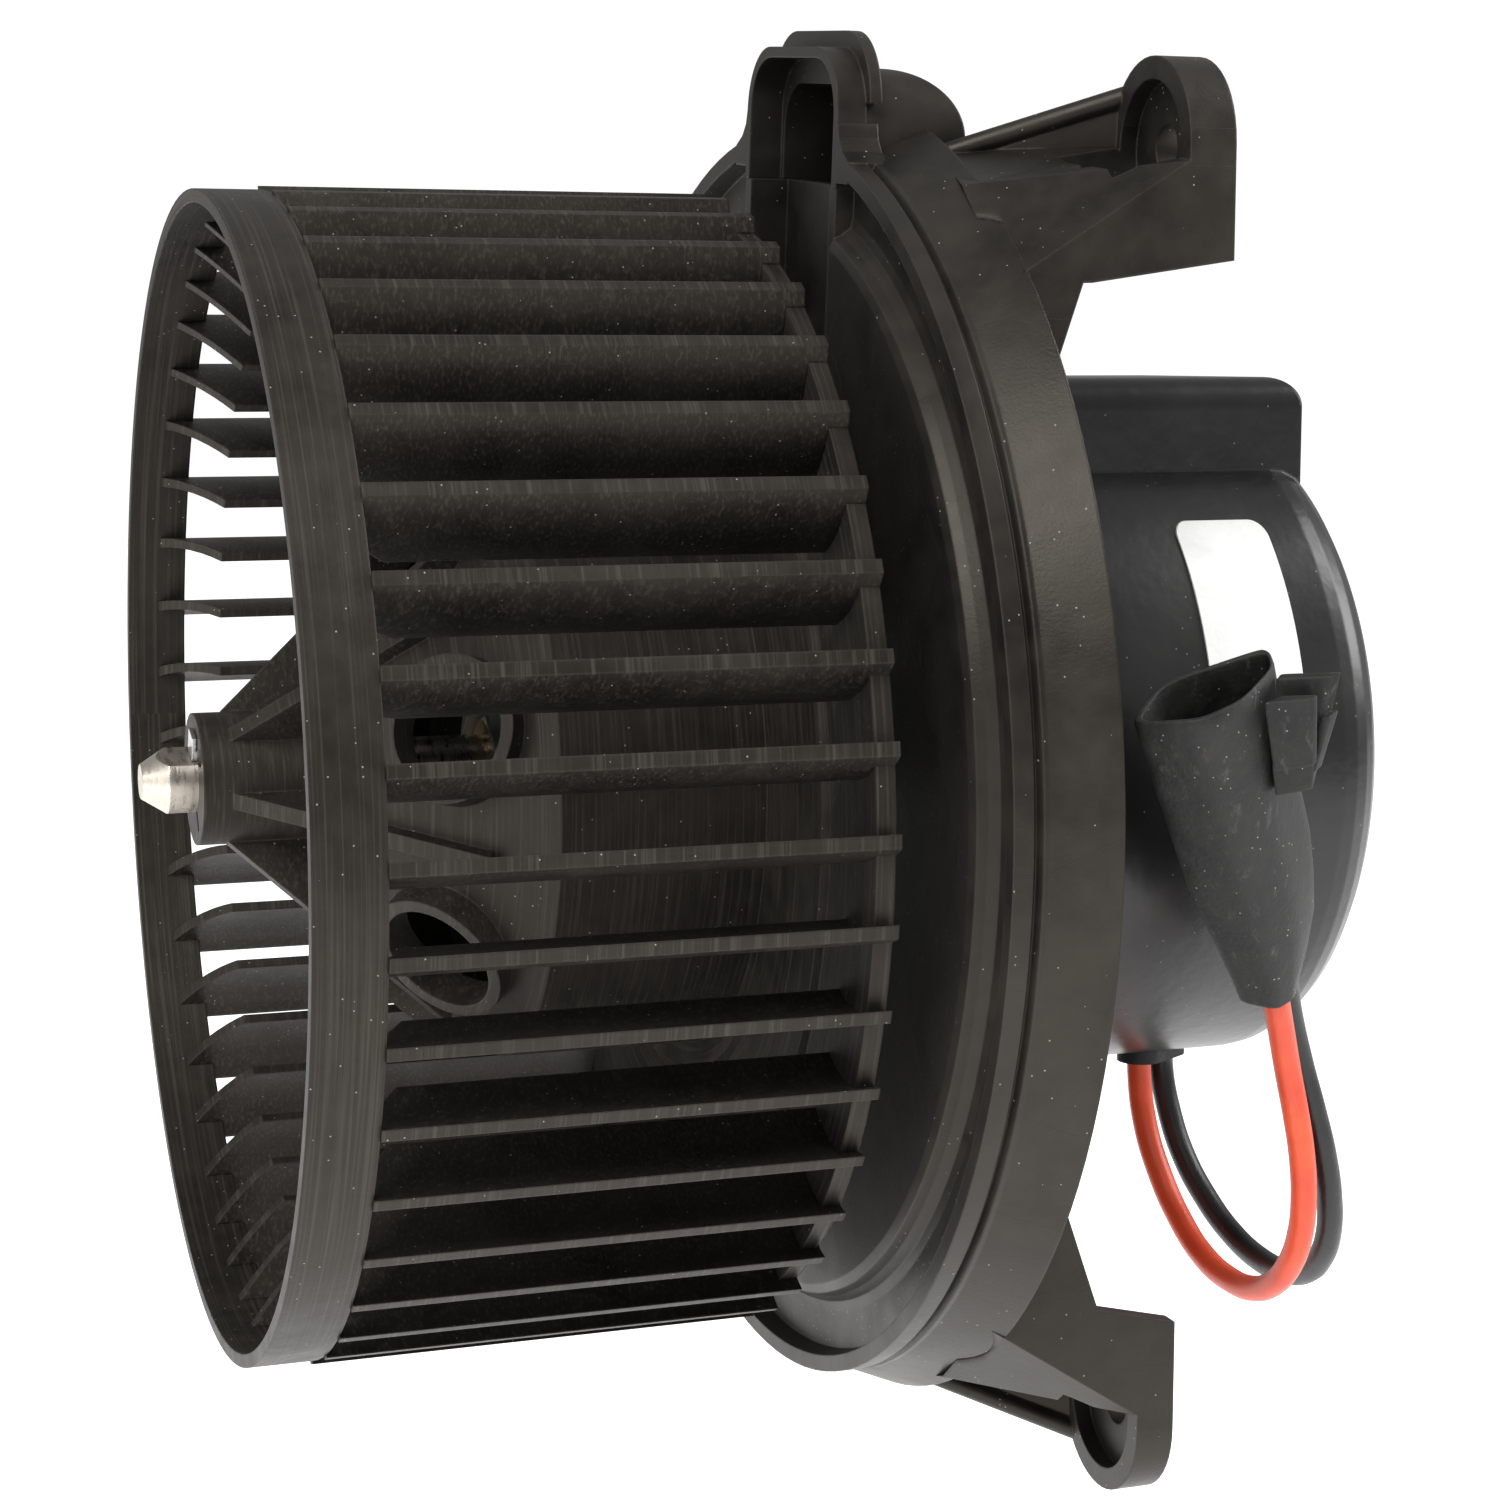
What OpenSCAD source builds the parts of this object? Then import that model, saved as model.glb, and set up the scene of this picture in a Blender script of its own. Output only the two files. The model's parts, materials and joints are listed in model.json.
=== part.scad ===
// Blower motor with squirrel-cage wheel, mounting flange, motor cover and lead.
// X is the shaft axis: the wheel's open end looks along -X and the motor cover along +X.
// The origin is on the shaft axis, in the plane where the three lugs seat.

/* [Wheel] */
// Outer radius over the blades
wheel_r = 70.4; // [66:0.2:72]
// Number of forward-curved blades
blade_n = 45; // [30:1:50]
// Blade thickness
blade_t = 1.27; // [0.9:0.05:1.6]
// Inner radius of the blade ring
blade_in_r = 60.25; // [57:0.25:62]
// Shaft diameter
shaft_d = 8; // [6:0.5:9]
// Outer radius of the wheel's hub tube
hub_r = 8; // [7:0.25:9]

/* [Flange] */
// Radius of the flange's front lip
lip_r = 78.2; // [77.6:0.2:79]
// Radius of the flange band at its rear edge
band_r = 81.2; // [80.6:0.2:82]
// Radius of the circle through the lug screws
bolt_r = 86.5; // [85.5:0.5:88]
// Diameter of each lug's screw hole
bolt_d = 5.4; // [4:0.1:6]

/* [Motor] */
// Outer radius of the steel motor can
can_r = 31; // [30.5:0.1:31.2]
// Outer radius of the moulded motor cover
cover_r = 42; // [41.5:0.1:42.5]
// Diameter of each lead
lead_d = 3.2; // [2.6:0.1:3.4]

/* [Hidden] */
$fn = 96;

// Wheel stations along X
band_x0 = -104.9;
band_x1 = -97.1;
blade_tip_x = -102.5;
blade_root_x = -93.4;
disc_x0 = -44.6;
disc_x1 = -42.4;
disc_r = 68.7;
disc_step_r = 54;
disc_step = 0.8;
drum_r = 36;
drum_x = -70;
wall = 1.8;
nose_r = 18;
nose_x = -89;
hub_x = -106;
hub_inner_x = -84;
cone_angle = atan2(drum_r - nose_r, drum_x - nose_x);

// Blade section: an arc about blade_c, for the blade at the near side
blade_c = [-62.3, 11.6];
blade_arc_r = 14.2;

// Shaft
shaft_r = shaft_d / 2;
shaft_x0 = -112.4;
shaft_x1 = 22;
shaft_tip = 3;
shaft_tip_r = 2.1;
flat_x1 = -92;
flat_cut = 0.8;
flat_phi = 70;
hub_clear = 0.03;

// Flange stations
plate_x0 = -33.6;
plate_r = 69;
valley_x = -30.6;
plate_back_x = -28.5;
lip_x = -33.1;
groove_x = -30.2;
band_x = -29;
skirt_x = -21.8;
skirt_t = 2.5;
sleeve_in = 34.6;
sleeve_out = 37;
cup_r = 10.3;
pocket_r = 7.7;
cup_depth = 2.2;
lug_wall = 2.5;
skin = 1.6;
lug_phi = 59;
lower_phi = 61;
lower_seat = -2.5;

// Cooling duct, leaning toward -Y
duct_lean = 5.5;
duct_shift = -1.5;
duct_half = 16.3;
duct_top = 88.3;
duct_wall = 2;
duct_rim = 1.3;
duct_corner = 8;
duct_left = duct_shift - duct_half;
duct_right = duct_shift + duct_half;
duct_step_x0 = -29.5;
duct_x = -26;
duct_back_x = -16.8;
duct_rear_top = 86;
duct_base = 72;
channel_z = 50;

// Motor stations
can_x0 = -66;
can_x1 = 14;
can_wall = 1.4;
boss_r = 9.2;
boss_x0 = -71;
boss_x1 = -59.5;
core_r = 20.5;
core_x0 = -46;
core_x1 = -10;
slot_n = 12;
magnet_in = 21.3;
bush_x_front = -65.3;
bush_x_rear = 18;
bush_ball_r = 7.6;
bush_bore_r = shaft_r + 0.04;
plate_x = 14;
card_x = 10;

// Cover
cover_x0 = -28.5;
cover_x1 = 34;
cover_wall = 2;
cover_fillet = 7;
box_half = 21.2;
box_top = 47.9;
box_x1 = 31.5;

// Lead routes, from the grommet to the connector
lead_r = lead_d / 2;
red_route = [
  [16.8, -8.2, -38.5], [16.8, -8.2, -44.3], [17, -10, -51], [17.5, -13.5, -56.7],
  [18, -18.4, -61.4], [18.4, -24.4, -64.7], [18.8, -30.8, -65.9], [19, -36.7, -65.3],
  [19, -41.8, -63], [18.9, -45.7, -59.4], [18.6, -48.5, -54.8], [18.1, -50, -49.6],
  [17.4, -50.5, -44.3], [16.4, -50.6, -39.2], [15.1, -50.8, -33.9], [13.5, -51.8, -28.6],
  [11.8, -53.3, -23.9], [10.7, -54.4, -20.6]
];
black_route = [
  [21.6, -5.2, -38.5], [21.6, -5.2, -44.3], [22.1, -6.8, -50.2], [22.8, -9.8, -55.5],
  [23.8, -14.2, -60], [24.8, -19.8, -63.5], [25.6, -26.3, -65.3], [25.9, -32.4, -65.1],
  [25.8, -37.7, -63.4], [25.3, -41.9, -60.4], [24.5, -45.1, -56.2], [23.3, -47.1, -51.1],
  [21.9, -47.9, -45.5], [20.2, -48, -39.7], [18.2, -48.1, -33.5], [15.9, -49.2, -26.9],
  [14.3, -50.7, -22.2], [13.2, -51.8, -18.9]
];

// Connector: its own frame has +Z out of the mouth
plug_at = [8.6, -53, -21.6];
plug_tilt = [18, 0, 0];
plug_roll = [0, -18.5, 0];
plug_wires = [[2.4, -1], [5, 2]];
plug_back = -3;
plug_mouth = 38.5;
plug_floor = 20;

// ---- helpers ----

// Turned solid about the X axis from [radius, x] points
module turned(points) rotate([0, 90, 0]) rotate_extrude() polygon(points);

module tube_x(x0, x1, outer, inner = 0) {
  translate([x0, 0, 0]) rotate([0, 90, 0]) difference() {
    cylinder(h = x1 - x0, r = outer);
    if (inner > 0) translate([0, 0, -1]) cylinder(h = x1 - x0 + 2, r = inner);
  }
}

// Turns by phi about X: at phi 0 the radius points along -Y, and at 90 along +Z
module at_phi(phi) rotate([-phi, 0, 0]) children();

// A flat outline in [radius, x] made into a plate across the local radius
module radial_plate(t, points) rotate([0, 0, -90])
  linear_extrude(height = t, center = true) polygon(points);

// A flat outline in [y, z] pushed along X
module along_x(x0, x1) translate([x0, 0, 0]) rotate([90, 0, 90])
  linear_extrude(height = x1 - x0) children();

module cuboid(low, high) translate(low) cube(high - low);

// A round-cornered rectangle between two corner points
module round_rect(low, high, r) {
  translate([low[0] + r, low[1]]) square([high[0] - low[0] - 2 * r, high[1] - low[1]]);
  translate([low[0], low[1] + r]) square([high[0] - low[0], high[1] - low[1] - 2 * r]);
  for (y = [low[0] + r, high[0] - r], z = [low[1] + r, high[1] - r])
    translate([y, z]) circle(r = r);
}

function unit(v) = v / norm(v);
function along(p, i) = unit(p[min(i + 1, len(p) - 1)] - p[max(i - 1, 0)]);
function ring_at(p, i, r, n) =
  let (t = along(p, i), a = unit(cross(t, [0.99, 0.1, 0])), b = cross(t, a))
  [for (k = [0 : n - 1]) p[i] + r * (cos(360 * k / n) * a + sin(360 * k / n) * b)];

// A round lead swept along its route
module lead(route, r, n = 8) {
  rings = len(route);
  points = [for (i = [0 : rings - 1]) each ring_at(route, i, r, n)];
  sides = [for (i = [0 : rings - 2], k = [0 : n - 1])
    [i * n + k, i * n + (k + 1) % n, (i + 1) * n + (k + 1) % n, (i + 1) * n + k]];
  first = [for (k = [n - 1 : -1 : 0]) k];
  last = [for (k = [0 : n - 1]) (rings - 1) * n + k];
  polyhedron(points, concat(sides, [first, last]));
}

// ---- the wheel ----

module wheel_front_band() color("#3a3733") turned([
  [68.4, band_x0], [70, band_x0], [70, band_x1], [68.4, band_x1]
]);

module blade_section() intersection() {
  translate(blade_c) difference() {
    circle(r = blade_arc_r + blade_t / 2);
    circle(r = blade_arc_r - blade_t / 2);
  }
  translate([-75, -6]) square([20, 10]);
}

module wheel_blades() color("#35322e") intersection() {
  for (i = [0 : blade_n - 1]) at_phi(i * 360 / blade_n)
    along_x(blade_tip_x, disc_x1) blade_section();
  turned([
    [blade_in_r, blade_root_x], [68.4, blade_tip_x + 1.7], [68.4, band_x1], [wheel_r, band_x1],
    [wheel_r, disc_x1], [disc_r, disc_x1], [disc_r, disc_x0], [blade_in_r, disc_x0]
  ]);
}

module wheel_rib() radial_plate(2, [
  [7, blade_tip_x], [hub_r, blade_tip_x], [32, -77], [28.9, -76.9], [17.5, nose_x + 0.1],
  [7, nose_x + 0.1]
]);

module vent_place(phi) at_phi(phi) translate([-79.5, -27, 0])
  rotate([0, 0, -cone_angle]) rotate([90, 0, 0]) children();

module wheel_back() color("#2f2d2a") difference() {
  union() {
    turned([
      [shaft_r + hub_clear, hub_x], [hub_r, hub_x], [hub_r, nose_x], [nose_r, nose_x],
      [drum_r, drum_x], [drum_r, disc_x0 - disc_step], [disc_step_r, disc_x0 - disc_step],
      [disc_step_r + disc_step, disc_x0], [disc_r, disc_x0], [disc_r, disc_x1],
      [drum_r - wall, disc_x1], [drum_r - wall, drum_x + 0.7],
      [nose_r - 0.8, nose_x + wall], [hub_r, nose_x + wall], [hub_r, hub_inner_x],
      [shaft_r + hub_clear, hub_inner_x]
    ]);
    for (k = [0 : 5]) at_phi(60 * k - 13) wheel_rib();
    for (k = [0 : 5]) vent_place(60 * k + 17) translate([0, 0, -1.5]) cylinder(h = 4, r = 8.7);
  }
  for (k = [0 : 5]) vent_place(60 * k + 17) translate([0, 0, -6]) cylinder(h = 12, r = 7.1);
  for (k = [0 : 3]) at_phi(90 * k + 25)
    cuboid([hub_x - 1, -hub_r + 1.4, -0.5], [hub_x + 2, -shaft_r, 0.5]);
  at_phi(flat_phi) cuboid([hub_x - 1, -shaft_r - 0.7, -1.7], [hub_x + 13, -shaft_r + 1, 1.7]);
}

module hub_clip() color("#c9c8c4") at_phi(flat_phi) {
  cuboid([hub_x - 0.6, -shaft_r - 0.5, -1.5], [hub_x + 12, -shaft_r + flat_cut - 0.15, 1.5]);
  cuboid([hub_x - 0.6, -shaft_r - 2.2, -1.5], [hub_x - 0.1, -shaft_r, 1.5]);
}

module motor_shaft() color("#cfc4b2") difference() {
  turned([
    [0, shaft_x0], [shaft_tip_r, shaft_x0], [shaft_r, shaft_x0 + shaft_tip],
    [shaft_r, shaft_x1 - 1], [shaft_r - 1, shaft_x1], [0, shaft_x1]
  ]);
  at_phi(flat_phi) cuboid([shaft_x0 - 1, -shaft_r - 2, -6], [flat_x1, -shaft_r + flat_cut, 6]);
}

// ---- the armature ----

module slot_ring(tooth_r, slot_r, gap) difference() {
  circle(r = tooth_r);
  circle(r = shaft_r);
  for (k = [0 : slot_n - 1]) rotate(k * 360 / slot_n) {
    translate([15, 0]) circle(r = slot_r, $fn = 24);
    translate([15, -gap / 2]) square([10, gap]);
  }
}

module armature_core() color("#8b8e91") along_x(core_x0, core_x1) slot_ring(core_r, 2.9, 2);

module armature_insulators() color("#3f6b4a") {
  along_x(core_x0 - 0.8, core_x0) slot_ring(core_r - 0.8, 2.7, 1.6);
  along_x(core_x1, core_x1 + 0.8) slot_ring(core_r - 0.8, 2.7, 1.6);
}

module armature_windings() color("#a85a2a") {
  for (k = [0 : slot_n - 1]) rotate([k * 360 / slot_n, 0, 0])
    translate([core_x0 - 1, 15, 0]) rotate([0, 90, 0])
      cylinder(h = core_x1 - core_x0 + 2, r = 2.5, $fn = 24);
  turned([[9, -52], [10.5, -53.5], [16.5, -53.5], [18.5, -51.5], [18.5, -46.8], [9, -46.8]]);
  turned([[9, -9.2], [18.5, -9.2], [18.5, -6], [16.5, -4], [10.5, -4], [9, -5.5]]);
}

module commutator_hub() color("#5a3a26") tube_x(-3, 8.6, 6.5, shaft_r);

module commutator_bars() color("#c07a45") difference() {
  tube_x(-3, 8, 9.4, 6.5);
  for (k = [0 : slot_n - 1]) rotate([k * 360 / slot_n, 0, 0])
    cuboid([-4, 5, -0.3], [9, 11, 0.3]);
}

module thrust_washers() color("#b9bcbf") {
  tube_x(-57.2, -56.4, 6.4, shaft_r);
  tube_x(9, 9.8, 6.4, shaft_r);
}

// ---- the flange, its lugs and the cooling duct ----

function ring_z(y, r) = sqrt(r * r - y * y);

// A solid block with a five-cornered front and a five-cornered back
module block(front, back, shift = [0, 0, 0]) translate(shift) polyhedron(
  concat(front, back), concat(
    [[0, 4, 1], [4, 2, 1], [4, 3, 2], [5, 6, 9], [6, 7, 9], [7, 8, 9]],
    [for (i = [0 : 4]) each [[i, (i + 1) % 5, (i + 1) % 5 + 5], [i, (i + 1) % 5 + 5, i + 5]]]));

module rod_x(x0, x1, r, y, z) translate([x0, y, z]) rotate([0, 90, 0])
  cylinder(h = x1 - x0, r = r, $fn = 32);

// One lug for a cup above the shaft, whose pocket floor lies at x = seat
module lug(cy, cz, seat, rear_x, web_x) {
  wall_y = cy - cup_r;
  foot_y = cy + 17;
  foot_z = ring_z(foot_y, 79.5);
  mid_y = (wall_y + foot_y) / 2;
  rim_x = seat - cup_depth;
  front = [
    [-24.5, wall_y, ring_z(wall_y, band_r - 1.2)], [rim_x, wall_y, cz - 2],
    [seat, cy + 6.5, cz + 0.5], [-22, foot_y, foot_z], [-24, mid_y, ring_z(mid_y, 81)]
  ];
  back = [
    [-14, wall_y, cz - 15.6], [rear_x, wall_y, cz - 13],
    [rear_x, cy + 8.6, cz - 6], [-16, foot_y, foot_z - 4], [-15, mid_y, cz - 9]
  ];
  difference() {
    union() {
      difference() {
        block(front, back);
        block(front, back, [skin, lug_wall, -skin]);
      }
      intersection() {
        block(front, back);
        tube_at(-14, rear_x, cup_r, cy, cz);
      }
      translate([0, wall_y + lug_wall, 0]) rotate([90, 0, 0])
        linear_extrude(height = lug_wall) polygon([
          [front[0][0], front[0][2]], [rim_x, cz - 2], [rim_x, cz], [rear_x, cz],
          [rear_x, cz - 13], [web_x, cz - 15.4], [web_x - 4, cz - 27], [skirt_x, cz - 44],
          [valley_x + skirt_t, cz - 44], [valley_x + skirt_t, cz - 25]
        ]);
      hull() {
        rod_x(-23.5, -14, 1.2, foot_y, foot_z - 1.3);
        rod_x(seat - 1, rear_x - 0.1, 1.2, cy + 7.9, cz + 6.6);
      }
      hull() {
        rod_x(-20, -14, 0.8, foot_y - 1, foot_z - 2);
        rod_x(seat + 0.8, rear_x - 0.1, 0.8, cy + 7.9, cz + 6);
        rod_x(seat + 0.8, rear_x - 0.1, 0.8, cy + 8.4, cz);
      }
      tube_at(rim_x, rear_x, cup_r, cy, cz);
    }
    tube_at(seat - 10, seat, pocket_r, cy, cz);
    tube_at(seat - 22, rear_x + 1, bolt_d / 2, cy, cz);
  }
}

module tube_at(x0, x1, r, y, z) translate([x0, y, z]) rotate([0, 90, 0])
  cylinder(h = x1 - x0, r = r);

function phi_y(phi) = -bolt_r * cos(phi);
function phi_z(phi) = bolt_r * sin(phi);

module duct_frame() rotate([duct_lean, 0, 0]) children();

module duct_plan(half, top, r, base) intersection() {
  round_rect([duct_shift - half, base - 20], [duct_shift + half, top], r);
  translate([-50, base]) square([100, 100]);
}

// Where the ring's front turns up into the duct's side
module ring_blend(y, s, z) duct_frame() along_x(lip_x, duct_step_x0 + 1.5) polygon([
  [y, z + 7], [y + 0.5 * s, z + 5.2], [y + 1.8 * s, z + 3.7], [y + 4 * s, z + 2.5], [y + 4 * s, z],
  [y, z]
]);

module mounting_flange() color("#312f2c") {
  ring_blend(duct_right, 1, 73.5);
  ring_blend(duct_left, -1, 72.7);
  difference() {
    union() {
      turned([
        [sleeve_out, plate_x0], [plate_r - 1.6, plate_x0], [plate_r - 0.5, plate_x0 + 0.5],
        [plate_r, plate_x0 + 1.6], [plate_r + 0.8, valley_x - 0.3], [71, valley_x],
        [75.6, valley_x], [76.2, lip_x], [lip_r, lip_x], [lip_r, groove_x - 0.6],
        [77.2, groove_x], [lip_r, groove_x + 0.6], [lip_r, band_x], [band_r, skirt_x],
        [band_r - skirt_t, skirt_x], [75.5, valley_x + skirt_t], [66, valley_x + skirt_t],
        [66, plate_x0 + skirt_t], [44, plate_x0 + skirt_t], [44, plate_back_x],
        [sleeve_out, plate_back_x]
      ]);
      tube_x(plate_x0, -6, sleeve_out, sleeve_in);
    }
    duct_frame() cuboid([-60, duct_left, channel_z], [plate_back_x + 4, duct_right, duct_base]);
    duct_frame() cuboid([-60, duct_left, duct_base], [0, duct_right, 95]);
  }
  duct_frame() difference() {
    cuboid([plate_x0 + 0.6, duct_left, channel_z], [duct_x, duct_right, duct_base]);
    along_x(-60, duct_x - 2) round_rect([duct_left + 2, channel_z + 2], [duct_right - 2, 90], 4);
  }
}

module flange_lugs() color("#312f2c") difference() {
  union() {
    lug(phi_y(lug_phi), phi_z(lug_phi), 0, 3.5, -15);
    mirror([0, 0, 1]) lug(phi_y(lower_phi), phi_z(lower_phi), lower_seat, 0, -10);
    rotate([-120, 0, 0]) lug(phi_y(lug_phi), phi_z(lug_phi), 0, 2.5, -15);
  }
  turned([
    [20, -40], [lip_r, -40], [lip_r, band_x], [band_r, skirt_x], [band_r - 1, skirt_x],
    [20, skirt_x]
  ]);
  duct_frame() cuboid([-60, duct_left - 1.5, channel_z], [0, duct_right + 1.5, 95]);
}

module duct_side(x1, top, r) rotate([90, 0, 0]) translate([0, 0, -60])
  linear_extrude(height = 120) round_rect([-60, 0], [x1, top], r);

module duct_bump(x0, x1, half, top, r, base) intersection() {
  along_x(x0, x1) duct_plan(half, top, r, base);
  duct_side(x1, top, r);
}

module cooling_duct() color("#2b2926") duct_frame() difference() {
  union() {
    along_x(lip_x, duct_step_x0) duct_plan(duct_half, duct_top, duct_corner, duct_base);
    along_x(duct_step_x0, duct_step_x0 + 1.5)
      duct_plan(duct_half + 1.2, duct_top + 2, duct_corner + 1, 82);
    along_x(duct_step_x0, duct_x) duct_plan(duct_half, duct_rear_top, duct_corner, duct_base);
    duct_bump(duct_x, duct_back_x, duct_half, duct_rear_top, duct_corner, 44);
  }
  along_x(lip_x - 1, duct_step_x0 + 0.7)
    duct_plan(duct_half - duct_rim, duct_top - duct_rim, duct_corner - duct_rim, 40);
  duct_bump(lip_x - 1, duct_back_x - 1.5, duct_half - duct_wall, duct_rear_top - duct_wall,
    duct_corner - duct_wall, 40);
  rotate([-duct_lean, 0, 0]) cuboid([-60, -60, 0], [0, 60, box_top]);
}

// ---- the cover ----

module cover_skin(r, half, top, x0, x1, fillet) {
  turned(concat(
    [[0, x0], [r, x0]],
    [for (a = [0 : 15 : 90]) [r - fillet * (1 - cos(a)), x1 - fillet * (1 - sin(a))]],
    [[0, x1]]));
  intersection() {
    along_x(x0, box_x1 - (cover_x1 - x1)) round_rect([-half, 0], [half, top], 4);
    duct_side(box_x1 - (cover_x1 - x1), top, 3.5);
  }
}

module motor_cover() color("#1d1c1b") difference() {
  cover_skin(cover_r, box_half, box_top, cover_x0, cover_x1, cover_fillet);
  cover_skin(cover_r - cover_wall, box_half - 2, box_top - 2, cover_x0 - 1, cover_x1 - 2, 5.5);
  cuboid([duct_x + 0.5, -15, box_top - 5], [duct_back_x - 2, 7, box_top + 1]);
  translate([0, 0, -46]) grommet_plan(8, 2.55);
}

module label_plan() round_rect([9.3, 5], [21.7, 30.5], 2);

module cover_label() color("white") intersection() {
  tube_x(5, 30, cover_r + 0.25, cover_r);
  rotate([90, 0, 0]) linear_extrude(height = 60) label_plan();
}

// ---- the motor ----

module motor_can() color("#9a9c9d") difference() {
  turned([
    [boss_r - 1.3, boss_x0], [boss_r, boss_x0], [boss_r, can_x0], [can_r - 3, can_x0],
    [can_r, can_x0 + 3], [can_r, can_x1], [can_r - can_wall, can_x1],
    [can_r - can_wall, can_x0 + 3.6], [can_r - 3.6, can_x0 + can_wall],
    [boss_r, can_x0 + can_wall], [boss_r, boss_x1], [boss_r - 1.3, boss_x1]
  ]);
  for (k = [0 : 3]) rotate([k * 90 + 45, 0, 0])
    cuboid([can_x0 - 2, 13, -6], [can_x0 + 2, 25, 6]);
  for (k = [0 : 3]) rotate([k * 90 + 45, 0, 0]) cuboid([-3, 25, -7], [7, 35, 7]);
}

module arc_block(x0, x1, outer, inner, half) intersection() {
  tube_x(x0, x1, outer, inner);
  along_x(x0 - 1, x1 + 1) polygon([
    [0, 0], [60 * cos(half), 60 * sin(half)], [80, 0], [60 * cos(half), -60 * sin(half)]
  ]);
}

module field_magnets() color("#4c4a48") for (a = [0, 180]) rotate([a, 0, 0])
  arc_block(-50, -6, can_r - can_wall, magnet_in, 64);

module magnet_clips() color("#8d8f92") for (a = [90, 270]) rotate([a, 0, 0])
  arc_block(-48, -8, 28, 27, 25);

module motor_end_plate() color("#a4a6a7") {
  difference() {
    turned([
      [boss_r - 1.3, plate_x], [can_r, plate_x], [can_r, plate_x + 1.4], [boss_r, plate_x + 1.4],
      [boss_r, 25.2], [0, 25.2], [0, 24], [boss_r - 1.3, 24]
    ]);
    for (s = [-1, 1]) translate([plate_x - 1, 10 * s, -20]) rotate([0, 90, 0])
      cylinder(h = 4, r = 2.4);
    for (a = [90, 210, 330]) rotate([a, 0, 0]) translate([plate_x - 1, 27, 0])
      rotate([0, 90, 0]) cylinder(h = 4, r = 1.6);
  }
}

module bush(x) difference() {
  intersection() {
    translate([x, 0, 0]) sphere(r = bush_ball_r);
    tube_x(x - 5, x + 5, 10);
  }
  tube_x(x - 9, x + 9, bush_bore_r);
}

module front_bearing() color("#a88a4e") bush(bush_x_front);
module rear_bearing() color("#a88a4e") bush(bush_x_rear);

module bearing_retainers() color("#b3b6b8") {
  tube_x(boss_x1, boss_x1 + 0.8, boss_r + 1, 5.4);
  tube_x(plate_x - 2.2, plate_x - 0.01, boss_r + 3, boss_r - 1.6);
}

module oil_felts() color("#cdbb8a") {
  tube_x(-60.3, boss_x1 - 0.01, 7.8, 4.6);
  tube_x(23.05, 23.95, 7.8, 4.6);
}

// ---- the brush gear ----

module brush_card() color("#6b4a2c") difference() {
  tube_x(card_x, card_x + 1.6, 24.5, 12.4);
  for (s = [-1, 1]) translate([card_x - 1, 10 * s, -20]) rotate([0, 90, 0])
    cylinder(h = 4, r = 1.2);
}

module brush_holders() color("#c2a14a") for (a = [0, 180]) rotate([a, 0, 0]) difference() {
  cuboid([0.5, 11, -3.6], [card_x, 24, 3.6]);
  cuboid([1.3, 10, -2.8], [card_x - 1, 23, 2.8]);
}

module carbon_brushes() color("#2a2a2b") for (a = [0, 180]) rotate([a, 0, 0])
  cuboid([1.5, 9.5, -2.7], [card_x - 1.2, 18, 2.7]);

module brush_springs() color("#b7babc") for (a = [0, 180]) rotate([a, 0, 0])
  translate([5.1, 18, 0]) rotate([-90, 0, 0]) {
    cylinder(h = 5, r = 1.2);
    for (i = [0 : 3]) translate([0, 0, 0.3 + 1.25 * i]) cylinder(h = 0.7, r = 2.4);
  }

module choke_place() for (s = [-1, 1]) translate([16.4, 20 * s, 8]) rotate([0, 90, 0]) children();

module choke_cores() color("#3b3b3d") choke_place() cylinder(h = 13, r = 1.9);

module choke_windings() color("#b06a34") choke_place() translate([0, 0, 2]) difference() {
  for (i = [0 : 7]) translate([0, 0, 1.1 * i]) cylinder(h = 1.12, r = i % 2 == 0 ? 3 : 2.8);
  translate([0, 0, -1]) cylinder(h = 14, r = 1.9);
}

module capacitor() color("#b5763a") cuboid([15.4, -6, 14], [19.4, 6, 23]);

module motor_terminals() color("#c8b36a") for (s = [-1, 1])
  translate([card_x + 1.6, 10 * s, -20]) rotate([0, 90, 0]) cylinder(h = 9, r = 1.2);

module rubber_isolators() color("#161616") for (a = [30, 150, 270]) rotate([a, 0, 0])
  arc_block(-24, -8, sleeve_in, can_r, 22);

module motor_screws() color("#b9bcc0") for (a = [90, 210, 330]) rotate([a, 0, 0])
  translate([0, 27, 0]) {
    tube_x(plate_x - 4, plate_x + 1.5, 1.5);
    tube_x(plate_x + 1.4, plate_x + 3.4, 3);
  }

// ---- the lead and its connector ----

// Both leads' exit places, joined
module grommet_plan(h, r) translate([19.2, -6.7, 0]) rotate([0, 0, 32]) {
  for (x = [-2.83, 2.83]) translate([x, 0, 0]) cylinder(h = h, r = r);
  translate([-2.83, -r, 0]) cube([5.66, 2 * r, h]);
}

module cable_grommet() color("#191919") difference() {
  union() {
    difference() {
      translate([0, 0, -42.3]) grommet_plan(2, 3);
      tube_x(0, 40, cover_r + 0.02);
    }
    translate([0, 0, -42.2]) grommet_plan(5, 2.5);
  }
  translate([16.8, -8.2, -50]) cylinder(h = 14, r = lead_r + 0.05);
  translate([21.6, -5.2, -50]) cylinder(h = 14, r = lead_r + 0.05);
}

module lead_red() color("#d8402a") lead(red_route, lead_r);
module lead_black() color("#141414") lead(black_route, lead_r);

module plug_frame() translate(plug_at) rotate(plug_tilt) rotate(plug_roll) children();

// The housing's skewed six-sided outline, from its left, right, front and back limits
module plug_plan(l, r, f, b) polygon([
  [l, 0.8], [l + 0.5, -0.6], [l + 0.31 * (r - l), f], [l + 0.61 * (r - l), 0.78 * f],
  [l + 0.94 * (r - l), 1.3], [r, b - 1.6], [r - 0.6, b - 0.6], [l + 0.31 * (r - l), b]
]);

module slab(z, l, r, f, b) translate([0, 0, z]) linear_extrude(height = 0.5) plug_plan(l, r, f, b);

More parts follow.
